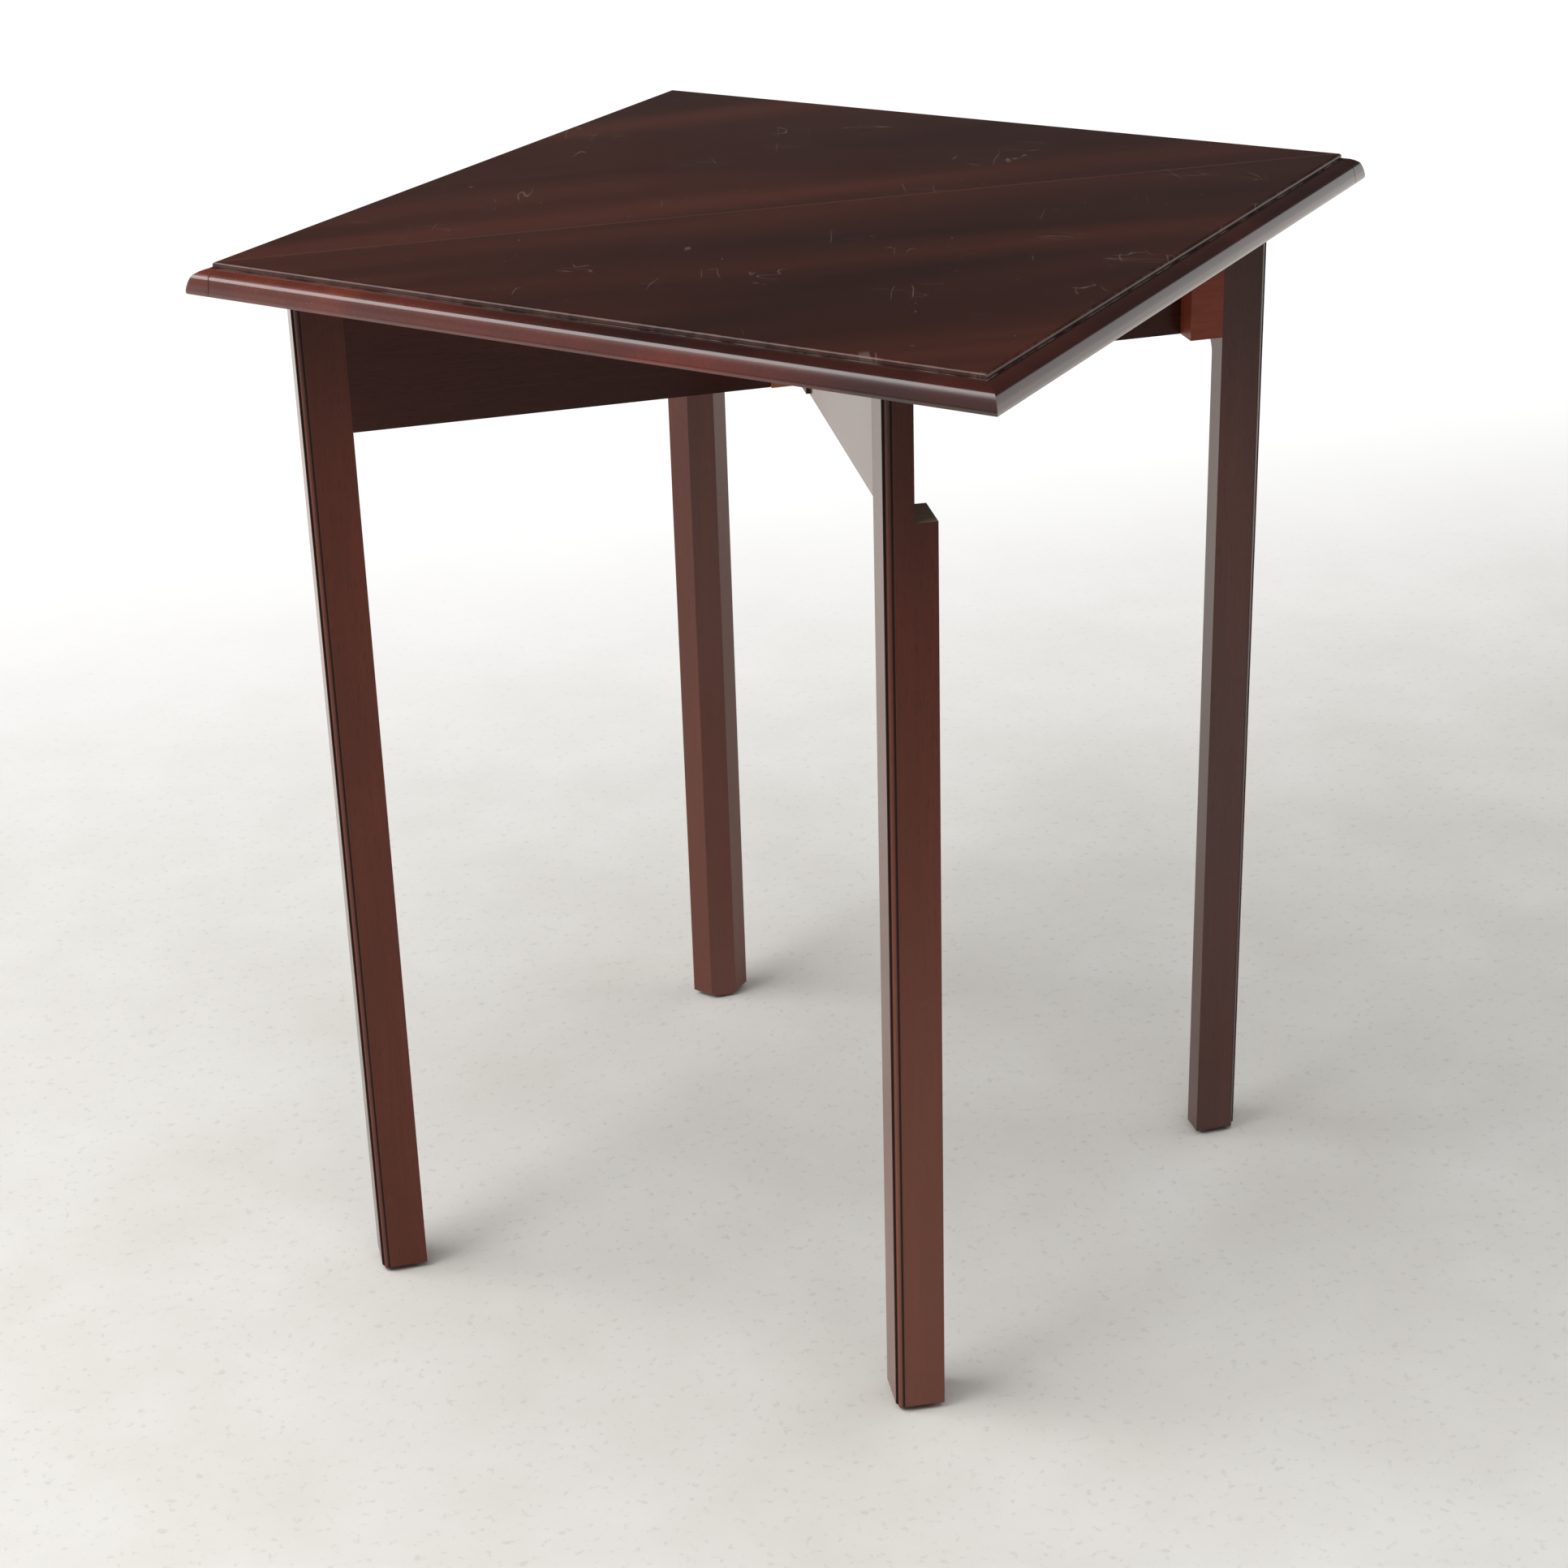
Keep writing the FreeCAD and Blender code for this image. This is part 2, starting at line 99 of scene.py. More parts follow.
# Dark, middle and light tone of each wood
TOP_PALETTE = ((0.021, 0.0061, 0.0042), (0.038, 0.0100, 0.0062), (0.066, 0.0168, 0.0100))
LEG_PALETTE = ((0.068, 0.0135, 0.0065), (0.118, 0.0225, 0.0105), (0.185, 0.038, 0.0175))
# The right leg's darker copy of the leg palette is painted shade
SHADED_LEG_PALETTE = ((0.050, 0.0105, 0.0058), (0.090, 0.0180, 0.0094), (0.145, 0.031, 0.0155))
RAIL_PALETTE = ((0.036, 0.0090, 0.0060), (0.060, 0.0145, 0.0095), (0.092, 0.022, 0.014))
# The gate rail's palette is lighter than the other rails' as painted light
GATE_PALETTE = ((0.09, 0.029, 0.018), (0.145, 0.047, 0.029), (0.205, 0.070, 0.043))
BLOCK_PALETTE = ((0.20, 0.040, 0.022), (0.33, 0.070, 0.036), (0.45, 0.105, 0.052))
KNUCKLE_PALETTE = ((0.30, 0.115, 0.032), (0.44, 0.185, 0.052), (0.56, 0.26, 0.08))
# The ledge's pale palette is dust with painted light
LEDGE_PALETTE = ((0.34, 0.285, 0.22), (0.47, 0.40, 0.32), (0.58, 0.50, 0.41))
RAW_PALETTE = ((0.16, 0.085, 0.045), (0.25, 0.14, 0.075), (0.34, 0.2, 0.115))

# Figure, refraction of the polish, roughness, depth of pores and share of rub marks of each wood
Finish = namedtuple("Finish", "ribbon refraction roughness bump rubs")
TOP_FINISH = Finish(ribbon=1.25, refraction=1.42, roughness=0.17, bump=0.012, rubs=0.4)
LEG_FINISH = Finish(ribbon=0.7, refraction=1.35, roughness=0.2, bump=0.06, rubs=0.1)
BACK_LEG_FINISH = LEG_FINISH._replace(refraction=1.5)
SHADED_LEG_FINISH = LEG_FINISH._replace(refraction=1.54)
RAIL_FINISH = Finish(ribbon=0.8, refraction=1.3, roughness=0.24, bump=0.08, rubs=0.1)
GATE_FINISH = Finish(ribbon=0.8, refraction=1.6, roughness=0.16, bump=0.05, rubs=0.25)
BLOCK_FINISH = Finish(ribbon=0.7, refraction=1.38, roughness=0.4, bump=0.12, rubs=0.2)
FIXED_KNUCKLE_FINISH = BLOCK_FINISH._replace(roughness=0.5, bump=0.15)
GATE_KNUCKLE_FINISH = BLOCK_FINISH._replace(roughness=0.36)
RAW_FINISH = Finish(ribbon=0.8, refraction=1.4, roughness=0.7, bump=0.3, rubs=0.1)
LEDGE_FINISH = Finish(ribbon=0.4, refraction=1.3, roughness=0.75, bump=0.3, rubs=0.1)
COAT_ROUGHNESS = 0.13
COAT_REFRACTION = 1.5

# Grain, in repeats to the metre, shares of the tone and metres
MIDDLE = 0.5
RIBBON_SCALE = (1.4, 10.0, 10.0)
STREAK_SCALE = (4.0, 75.0, 75.0)
FIBRE_SCALE = (16.0, 620.0, 620.0)
PORE_SCALE = (95.0, 2300.0, 2300.0)
STREAK_SHARE = 0.26
FIBRE_SHARE = 0.28
FIBRE_HEIGHT = 0.35
PORE_LIMITS = (0.60, 0.72)
PORE_SHARE = 0.5
PORE_SHADE = 0.4
GRAIN_DEPTH = 0.0002
TONE_STOPS = (0.22, 0.5, 0.78)

# Marks of handling: limits and widths run from no effect to full effect
CLOUD_SHARE = 0.1
SCRATCH_SCALE = (10.0, 48.0, 24.0)
SCRATCH_TURNS = ((0.3, 0.2, 0.6), (0.1, 0.3, 1.9))
SCRATCH_PATCHES = (0.58, 0.65)
SCRATCH_WIDTH = (0.007, 0.001)
SPECK_LIMITS = (0.79, 0.84)
SPECK_SHARE = 0.6
RUBBED = (0.16, 0.075, 0.055)
PALE_SCRATCH = (0.20, 0.15, 0.13)
PALE_SPECK = (0.3, 0.26, 0.23)

# Wear of the top, with painted highlight, painted reflection, painted light and painted shade, from none
# to full, in metres from its raised field, across the table or up
TOP_DIAGONAL = (0.0, 0.0, math.radians(45.0))
PATCHY_LIMITS = (0.40, 0.64)
# The field's arris line is wear with a painted highlight
ARRIS_PLACE = -0.0004
ARRIS_WIDTH = (0.0010, 0.0002)
WAX_PLACE = 0.0004
WAX_WIDTH = (0.0004, 0.0001)
MOULDING_START = (-0.0002, 0.0006)
# The quirk outside the field is darkened by dirt and painted shade
QUIRK_START = (0.0001, 0.0004)
QUIRK_END = (0.0020, 0.0010)
LACQUER_START = (0.0012, 0.0024)
SEAM_WIDTH = (0.0016, 0.0006)
# Painted reflection: the moulding is made lighter towards its left end
FADED_SIDE = (-0.16, -0.28)
# Painted light: the lower nose on the left half is made lighter and redder
NOSE_SIDE = (-0.03, -0.14)
NOSE_HEIGHT = (TABLE_HEIGHT - 0.0060, TABLE_HEIGHT - 0.0095)
MOULDING_ROUGHNESS = 0.06
MOULDING_TINT = (0.95, 0.8, 0.85)
# Tint of the painted reflection at the moulding's left end
FADED_TINT = (2.4, 1.8, 1.7)
# Tint of the painted light on the left nose
NOSE_TINT = (4.2, 2.2, 1.7)

# Wear of the legs, with painted shade at the head, painted light at the foot and a painted highlight on
# the arris, from none to full, in metres from the bead or up
FAR_AWAY = 1.0
# Dirt and painted shade in the legs' quirks
LEG_QUIRK_WIDTH = (0.0017, 0.0007)
# The legs' rubbed arris is wear with a painted highlight
LEG_ARRIS_WIDTH = (0.0007, 0.0002)
# Painted shadow of the table top on each leg's head, darker from 0.50 m up to 0.69 m
HEAD_HEIGHT = (0.50, 0.69)
# Painted light from below: each leg is made lighter towards its foot
FOOT_HEIGHT = (0.55, 0.05)

# Colours of wear and dirt, of painted highlight, painted shade and painted light, and the share that
# each mark takes
# Pale colour of worn edges, which also paints the arrises' highlight
WORN_EDGE = (0.15, 0.07, 0.05)
OLD_WAX = (0.32, 0.3, 0.28)
# Colour of the painted light at the legs' feet
WORN_FOOT = (0.25, 0.095, 0.062)
# Colour of the painted shadow at the legs' heads
DIM_HEAD = (0.03, 0.0075, 0.0045)
# Colour of the dirt and painted shade in the quirks
QUIRK_DIRT = (0.007, 0.0045, 0.004)
DIRT_ROUGHNESS = 0.5
TOP_MARKS = (
    ("Arris", 0.4, WORN_EDGE),
    ("Seam", 0.4, WORN_EDGE),
    ("Quirk", 0.85, QUIRK_DIRT),
    ("Wax", 0.5, OLD_WAX),
)
LEG_MARKS = (
    ("Head", 0.45, DIM_HEAD),
    ("Arris", 0.5, WORN_EDGE),
    ("Dirt", 0.85, QUIRK_DIRT),
)

# Metal and pads
BRASS = (0.42, 0.29, 0.12)
BRASS_TARNISH = (0.12, 0.08, 0.04)
BRASS_ROUGHNESS = 0.34
STEEL = (0.34, 0.33, 0.32)
STEEL_TARNISH = (0.13, 0.11, 0.09)
STEEL_ROUGHNESS = 0.36
TARNISH_LIMITS = (0.45, 0.7)
BRUSH_SCALE = (60.0, 1500.0, 1500.0)
BRUSH_ROUGHNESS = 0.2
BRUSH_BUMP = 0.1
BRUSH_DEPTH = 0.0001
PAD_STOPS = ((0.3, (0.008, 0.007, 0.007)), (0.75, (0.03, 0.027, 0.025)))
PAD_ROUGHNESS = 0.7
PAD_UNEVENNESS = 0.2
PAD_BUMP = 0.4
PAD_DEPTH = 0.0002

# Floor in metres: reach and depth run from its own colour to white
WHITE = (1.0, 1.0, 1.0)
FLOOR_SIZE = 24.0
FLOOR_STOPS = ((0.3, (0.77, 0.75, 0.70)), (0.7, (0.855, 0.84, 0.80)))
FLOOR_ROUGHNESS = 0.85
GRIT_LIMITS = (0.58, 0.72)
GRIT_SHARE = 0.3
GRIT_COLOUR = (0.5, 0.48, 0.45)
SWEEP_DEPTH = (0.35, 1.8)
SWEEP_REACH = (1.2, 2.6)
BOUNCE_DEPTH = (0.15, 1.4)
BESIDE_REACH = (0.7, 1.6)
BESIDE_DEPTH = (-0.9, -0.2)
WARM_BOUNCE = (1.08, 1.02, 0.96)
GLOW_STRENGTH = 1.1

# Room around the table: walls, heights and depths are directions, from none to full
ROOM_COLOUR = (0.05, 0.05, 0.05)
FRONT_COLOUR = (0.10, 0.10, 0.10)
FRONT_DEPTH = (0.1, -0.35)
BACKDROP_COLOUR = (0.85, 0.85, 0.85)
BACKDROP_HEIGHT = (0.13, 0.05)
BACKDROP_DEPTH = (-0.3, 0.0)
SIDE_WALLS = (0.6, 0.85)
SIDE_WALL_HEIGHT = (0.22, 0.1)
LEFT_WALL_COLOUR = (0.42, 0.42, 0.44)
LEFT_WALL = (-0.6, -0.85)
LEFT_WALL_HEIGHT = (0.45, 0.25)
LEFT_WALL_DEPTH = (-0.6, -0.3)

# Lamps, in metres and watts; only the left one shows in reflections
Softbox = namedtuple("Softbox", "name place aim size power mirrored")
SOFTBOXES = (
    Softbox("left_softbox", (-2.5, 0.0, 2.75), (0.0, 0.0, 0.6), (3.0, 2.0), 80.0, True),
    Softbox("overhead_softbox", (-0.3, -0.5, 3.3), (0.0, 0.0, 0.4), (3.6, 3.6), 80.0, False),
    Softbox("right_softbox", (2.8, 0.5, 1.8), (0.0, 0.0, 0.6), (3.4, 1.6), 16.0, False),
)

# Places of the sockets of a colour mix and a shader mix
MIX_SHARE = 0
MIX_FIRST = 6
MIX_SECOND = 7
MIX_RESULT = 2
FIRST_SHADER = 1
SECOND_SHADER = 2


# Node helpers
def put(tree, kind, **settings):
    node = tree.nodes.new(kind)
    for name, value in settings.items():
        if name in node.inputs:
            node.inputs[name].default_value = value
        else:
            setattr(node, name, value)
    return node


def join(tree, source, output, target, socket):
    tree.links.new(source.outputs[output], target.inputs[socket])


def new_group(name, masks, **numbers):
    # A group that reads a place on the piece and named numbers, and puts out masks.
    tree = bpy.data.node_groups.new(name, "ShaderNodeTree")
    tree.interface.new_socket("Vector", in_out="INPUT", socket_type="NodeSocketVector")
    for label, value in numbers.items():
        socket = tree.interface.new_socket(label, in_out="INPUT", socket_type="NodeSocketFloat")
        socket.default_value = value
    for label in masks:
        tree.interface.new_socket(label, in_out="OUTPUT", socket_type="NodeSocketFloat")
    return tree, put(tree, "NodeGroupInput"), put(tree, "NodeGroupOutput")


def put_out(tree, outlet, **masks):
    for label, mask in masks.items():
        tree.links.new(mask, outlet.inputs[label])


def place_group(tree, group, vector, **numbers):
    node = put(tree, "ShaderNodeGroup", node_tree=group)
    for label, value in numbers.items():
        node.inputs[label].default_value = value
    tree.links.new(vector, node.inputs["Vector"])
    return node


def math_node(tree, operation, first, second=None, clamp=False):
    node = put(tree, "ShaderNodeMath", operation=operation, use_clamp=clamp)
    for index, value in enumerate((first, second)):
        if value is None:
            continue
        if isinstance(value, (int, float)):
            node.inputs[index].default_value = value
        else:
            tree.links.new(value, node.inputs[index])
    return node.outputs[0]


def times(tree, first, second):
    return math_node(tree, "MULTIPLY", first, second)


def about_middle(tree, value, share):
    return times(tree, math_node(tree, "SUBTRACT", value, MIDDLE), share)


def distance_from(tree, value, line):
    return math_node(tree, "ABSOLUTE", math_node(tree, "SUBTRACT", value, line))


def distance_to(tree, node, point):
    distance = put(tree, "ShaderNodeVectorMath", operation="DISTANCE")
    join(tree, node, "Vector", distance, 0)
    distance.inputs[1].default_value = point
    return distance.outputs["Value"]


def object_place(tree):
    return put(tree, "ShaderNodeTexCoord").outputs["Object"]


def axes(tree, vector):
    parts = put(tree, "ShaderNodeSeparateXYZ")
    tree.links.new(vector, parts.inputs["Vector"])
    return parts.outputs["X"], parts.outputs["Y"], parts.outputs["Z"]


def turned(tree, vector, turn, shift=NO_SHIFT):
    mapping = put(tree, "ShaderNodeMapping", Rotation=turn, Location=shift)
    tree.links.new(vector, mapping.inputs["Vector"])
    return mapping.outputs["Vector"]


def stretched_noise(tree, vector, stretch, detail, roughness, distortion=0.0):
    mapping = put(tree, "ShaderNodeMapping", Scale=stretch)
    tree.links.new(vector, mapping.inputs["Vector"])
    noise = put(tree, "ShaderNodeTexNoise", Scale=1.0, Detail=detail, Roughness=roughness)
    noise.inputs["Distortion"].default_value = distortion
    join(tree, mapping, "Vector", noise, "Vector")
    return noise.outputs["Fac"]


def even_noise(tree, vector, scale, detail, roughness, distortion=0.0):
    return stretched_noise(tree, vector, (scale, scale, scale), detail, roughness, distortion)


def smooth_step(tree, value, limits):
    node = put(tree, "ShaderNodeMapRange", interpolation_type="SMOOTHSTEP")
    node.inputs["From Min"].default_value, node.inputs["From Max"].default_value = limits
    tree.links.new(value, node.inputs["Value"])
    return node.outputs["Result"]


def ramp(tree, factor, stops):
    node = put(tree, "ShaderNodeValToRGB")
    elements = node.color_ramp.elements
    while len(elements) < len(stops):
        elements.new(MIDDLE)
    for element, (place, colour) in zip(elements, stops):
        element.position = place
        element.color = (*colour, 1.0)
    tree.links.new(factor, node.inputs["Fac"])
    return node.outputs["Color"]


def mix_colour(tree, share, first, second, blend="MIX"):
    node = put(tree, "ShaderNodeMix", data_type="RGBA", blend_type=blend)
    for index, value in ((MIX_SHARE, share), (MIX_FIRST, first), (MIX_SECOND, second)):
        if isinstance(value, tuple):
            node.inputs[index].default_value = (*value, 1.0)
        else:
            tree.links.new(value, node.inputs[index])
    return node.outputs[MIX_RESULT]


def stain(tree, colour, mask, share, tint):
    return mix_colour(tree, times(tree, mask, share), colour, tint)


def raise_bump(tree, shader, height, strength, distance):
    bump = put(tree, "ShaderNodeBump", Strength=strength, Distance=distance)
    tree.links.new(height, bump.inputs["Height"])
    join(tree, bump, "Normal", shader, "Normal")


# Shared effects
def build_grain_group():
    # Mahogany figure along X: broad ribbons, finer streaks, fibres and open pores.
    tree, inlet, outlet = new_group("mahogany_grain", ("Tone", "Pores", "Height"), Ribbon=1.0)
    vector = inlet.outputs["Vector"]
    ribbons = stretched_noise(tree, vector, RIBBON_SCALE, detail=2.0, roughness=0.45, distortion=0.6)
    streaks = stretched_noise(tree, vector, STREAK_SCALE, detail=3.0, roughness=0.6, distortion=0.3)
    fibres = stretched_noise(tree, vector, FIBRE_SCALE, detail=4.0, roughness=0.65)
    pores = stretched_noise(tree, vector, PORE_SCALE, detail=1.0, roughness=0.5)
    broad = about_middle(tree, ribbons, inlet.outputs["Ribbon"])
    fine = about_middle(tree, streaks, STREAK_SHARE)
    hair = about_middle(tree, fibres, FIBRE_SHARE)
    figure = math_node(tree, "ADD", broad, fine)
    tone = math_node(tree, "ADD", figure, math_node(tree, "ADD", hair, MIDDLE), clamp=True)
    open_pores = smooth_step(tree, pores, PORE_LIMITS)
    height = math_node(tree, "SUBTRACT", times(tree, fibres, FIBRE_HEIGHT), open_pores)
    put_out(tree, outlet, Tone=tone, Pores=open_pores, Height=height)
    return tree


def build_handling_group():
    # Cloudy polish, faint scratches in patches and small pale specks of use.
    tree, inlet, outlet = new_group("handling_marks", ("Cloud", "Rubs", "Specks"))
    vector = inlet.outputs["Vector"]
    cloud = even_noise(tree, vector, scale=9.0, detail=4.0, roughness=0.6, distortion=0.2)
    patches = even_noise(tree, vector, scale=18.0, detail=2.0, roughness=0.5)
    lines = 0.0
    for turn in SCRATCH_TURNS:
        slanted = turned(tree, vector, turn)
        drift = stretched_noise(tree, slanted, SCRATCH_SCALE, detail=1.0, roughness=0.5)
        line = smooth_step(tree, distance_from(tree, drift, MIDDLE), SCRATCH_WIDTH)
        lines = math_node(tree, "MAXIMUM", line, lines)
    rubs = times(tree, lines, smooth_step(tree, patches, SCRATCH_PATCHES))
    dots = even_noise(tree, vector, scale=420.0, detail=1.0, roughness=0.5)
    put_out(tree, outlet, Cloud=cloud, Rubs=rubs, Specks=smooth_step(tree, dots, SPECK_LIMITS))
    return tree


def past_field(tree, edge, limits):
    start, end = limits
    return smooth_step(tree, edge, (FIELD_HALF_SIDE + start, FIELD_HALF_SIDE + end))


def field_line(tree, edge, place, width):
    return smooth_step(tree, distance_from(tree, edge, FIELD_HALF_SIDE + place), width)


def build_top_edge_group():
    # Wear and painted light on the square top: the raised field's arris (wear and a painted highlight),
    # the quirk (dirt and painted shade) and moulding outside it, the seam, and the moulding's left end
    # and left nose (painted reflection and painted light).
    masks = ("Arris", "Moulding", "Seam", "Quirk", "Wax", "Lacquer", "Faded", "Nose")
    tree, inlet, outlet = new_group("top_edge_wear", masks)
    vector = inlet.outputs["Vector"]
    along, across, _ = axes(tree, turned(tree, vector, TOP_DIAGONAL))
    along = math_node(tree, "ABSOLUTE", along)
    across = math_node(tree, "ABSOLUTE", across)
    edge = math_node(tree, "MAXIMUM", along, across)
    uneven = even_noise(tree, vector, scale=70.0, detail=4.0, roughness=0.65)
    patchy = smooth_step(tree, uneven, PATCHY_LIMITS)
    # The arris line is wear with a painted highlight
    arris = times(tree, field_line(tree, edge, ARRIS_PLACE, ARRIS_WIDTH), patchy)
    wax = times(tree, field_line(tree, edge, WAX_PLACE, WAX_WIDTH), patchy)
    # The quirk mask carries dirt and painted shade
    quirk = times(tree, past_field(tree, edge, QUIRK_START), past_field(tree, edge, QUIRK_END))
    moulding = past_field(tree, edge, MOULDING_START)
    lacquer = past_field(tree, edge, LACQUER_START)
    put_out(tree, outlet, Arris=arris, Wax=wax, Quirk=quirk, Moulding=moulding, Lacquer=lacquer)
    side, depth, height = axes(tree, vector)
    seam = smooth_step(tree, math_node(tree, "ABSOLUTE", depth), SEAM_WIDTH)
    # Painted reflection at the moulding's left end and painted light on its lower left nose
    faded = smooth_step(tree, side, FADED_SIDE)
    nose = times(tree, smooth_step(tree, side, NOSE_SIDE), smooth_step(tree, height, NOSE_HEIGHT))
    put_out(tree, outlet, Seam=seam, Faded=faded, Nose=nose)
    return tree


def leg_profile(tree, inlet, corner, turn):
    # Place in a leg's section from its moulded corner, folded over the corner's diagonal.
    x, y = corner
    leg = put(tree, "ShaderNodeMapping", vector_type="TEXTURE", Location=(x, y, 0.0),
              Rotation=(0.0, 0.0, math.radians(turn)))
    join(tree, inlet, "Vector", leg, "Vector")
    first, second, _ = axes(tree, leg.outputs["Vector"])
    profile = put(tree, "ShaderNodeCombineXYZ")
    tree.links.new(math_node(tree, "MAXIMUM", first, second), profile.inputs["X"])
    tree.links.new(math_node(tree, "MINIMUM", first, second), profile.inputs["Y"])
    return profile


def build_leg_wear_group():
    # Dirt and painted shade in the quirks beside each leg's bead, the rubbed arris there with a painted
    # highlight, the painted shadow of the top on the head and the painted light on the foot.
    tree, inlet, outlet = new_group("leg_wear", ("Dirt", "Arris", "Head", "Foot"))
    from_quirk = FAR_AWAY
    from_arris = FAR_AWAY
    for corner, turn in LEG_CORNERS:
        profile = leg_profile(tree, inlet, corner, turn)
        quirk = distance_to(tree, profile, (BEAD_SIZE, BEAD_QUIRK, 0.0))
        arris = distance_to(tree, profile, (BEAD_SIZE, 0.0, 0.0))
        from_quirk = math_node(tree, "MINIMUM", quirk, from_quirk)
        from_arris = math_node(tree, "MINIMUM", arris, from_arris)
    _, _, height = axes(tree, inlet.outputs["Vector"])
    # Dirt and painted shade in the quirks, and the arris worn with a painted highlight
    dirt = smooth_step(tree, from_quirk, LEG_QUIRK_WIDTH)
    worn = smooth_step(tree, from_arris, LEG_ARRIS_WIDTH)
    # Painted shadow of the top at each leg's head, painted light lower down towards its foot
    head = smooth_step(tree, height, HEAD_HEIGHT)
    foot = smooth_step(tree, height, FOOT_HEIGHT)
    put_out(tree, outlet, Dirt=dirt, Arris=worn, Head=head, Foot=foot)
    return tree


grain_group = build_grain_group()
leg_wear_group = build_leg_wear_group()
handling_group = build_handling_group()
top_edge_group = build_top_edge_group()


# Finishes
Wood = namedtuple("Wood", "material tree shader place colour rough marks")


def new_material(name):
    material = bpy.data.materials.new(name)
    material.use_nodes = True
    tree = material.node_tree
    tree.nodes.clear()
    output = put(tree, "ShaderNodeOutputMaterial")
    shader = put(tree, "ShaderNodeBsdfPrincipled")
    join(tree, shader, "BSDF", output, "Surface")
    return material, tree, shader


def wood(name, turn, palette, finish, shift=NO_SHIFT):
    # One lacquered or bare wood: grain turned to run along the piece.
    material, tree, shader = new_material(name)
    place = object_place(tree)
    grain = place_group(tree, grain_group, turned(tree, place, turn, shift), Ribbon=finish.ribbon)
    marks = place_group(tree, handling_group, place)
    pore_colour = tuple(channel * PORE_SHADE for channel in palette[0])
    colour = ramp(tree, grain.outputs["Tone"], tuple(zip(TONE_STOPS, palette)))
    colour = stain(tree, colour, grain.outputs["Pores"], PORE_SHARE, pore_colour)
    cloud = about_middle(tree, marks.outputs["Cloud"], CLOUD_SHARE)
    rough = math_node(tree, "ADD", cloud, finish.roughness, clamp=True)
    raise_bump(tree, shader, grain.outputs["Height"], finish.bump, GRAIN_DEPTH)
    shader.inputs["IOR"].default_value = finish.refraction
    return Wood(material, tree, shader, place, colour, rough, marks)


def add_rubs(tree, colour, marks, share):
    for output in ("Rubs", "Specks"):
        colour = stain(tree, colour, marks.outputs[output], share, RUBBED)
    return colour


def add_wear(tree, colour, wear, marks):
    for output, share, tint in marks:
        colour = stain(tree, colour, wear.outputs[output], share, tint)
    return colour


def finished_wood(name, turn, palette, finish):
    base = wood(name, turn, palette, finish)
    colour = add_rubs(base.tree, base.colour, base.marks, finish.rubs)
    base.tree.links.new(colour, base.shader.inputs["Base Color"])
    base.tree.links.new(base.rough, base.shader.inputs["Roughness"])
    return base.material


def leg_wood(name, palette, finish, foot_share):
    base = wood(name, ALONG_Z, palette, finish)
    tree = base.tree
    wear = place_group(tree, leg_wear_group, base.place)
    colour = add_rubs(tree, base.colour, base.marks, finish.rubs)
    # Painted light: the leg is made lighter towards its foot
    colour = stain(tree, colour, wear.outputs["Foot"], foot_share, WORN_FOOT)
    colour = add_wear(tree, colour, wear, LEG_MARKS)
    tree.links.new(colour, base.shader.inputs["Base Color"])
    dull = times(tree, wear.outputs["Dirt"], DIRT_ROUGHNESS)
    rough = math_node(tree, "ADD", base.rough, dull, clamp=True)
    tree.links.new(rough, base.shader.inputs["Roughness"])
    return base.material


def top_wood(name, turn, shift):
    base = wood(name, turn, TOP_PALETTE, TOP_FINISH, shift)
    tree = base.tree
    edge = place_group(tree, top_edge_group, base.place)
    moulding = edge.outputs["Moulding"]
    # Painted light on the left nose and painted reflection at the moulding's left end
    tint = mix_colour(tree, edge.outputs["Nose"], MOULDING_TINT, NOSE_TINT)
    tint = mix_colour(tree, edge.outputs["Faded"], tint, FADED_TINT)
    colour = mix_colour(tree, moulding, base.colour, tint, "MULTIPLY")
    field = math_node(tree, "SUBTRACT", 1.0, moulding)
    scratches = times(tree, base.marks.outputs["Rubs"], field)
    colour = stain(tree, colour, scratches, TOP_FINISH.rubs, PALE_SCRATCH)
    colour = stain(tree, colour, base.marks.outputs["Specks"], SPECK_SHARE, PALE_SPECK)
    colour = add_wear(tree, colour, edge, TOP_MARKS)
    tree.links.new(colour, base.shader.inputs["Base Color"])
    softer = math_node(tree, "ADD", base.rough, times(tree, moulding, MOULDING_ROUGHNESS))
    dull = times(tree, edge.outputs["Quirk"], DIRT_ROUGHNESS)
    rough = math_node(tree, "ADD", softer, dull, clamp=True)
    tree.links.new(rough, base.shader.inputs["Roughness"])
    join(tree, edge, "Lacquer", base.shader, "Coat Weight")
    base.shader.inputs["Coat Roughness"].default_value = COAT_ROUGHNESS
    base.shader.inputs["Coat IOR"].default_value = COAT_REFRACTION
    return base.material


def metal(name, base, tarnish, roughness):
    material, tree, shader = new_material(name)
    place = object_place(tree)
    brush = stretched_noise(tree, place, BRUSH_SCALE, detail=2.0, roughness=0.5)
    spots = even_noise(tree, place, scale=240.0, detail=4.0, roughness=0.6)
    colour = mix_colour(tree, smooth_step(tree, spots, TARNISH_LIMITS), base, tarnish)
    tree.links.new(colour, shader.inputs["Base Color"])
    rough = math_node(tree, "ADD", times(tree, brush, BRUSH_ROUGHNESS), roughness, clamp=True)
    tree.links.new(rough, shader.inputs["Roughness"])
    raise_bump(tree, shader, brush, BRUSH_BUMP, BRUSH_DEPTH)
    shader.inputs["Metallic"].default_value = 1.0
    return material


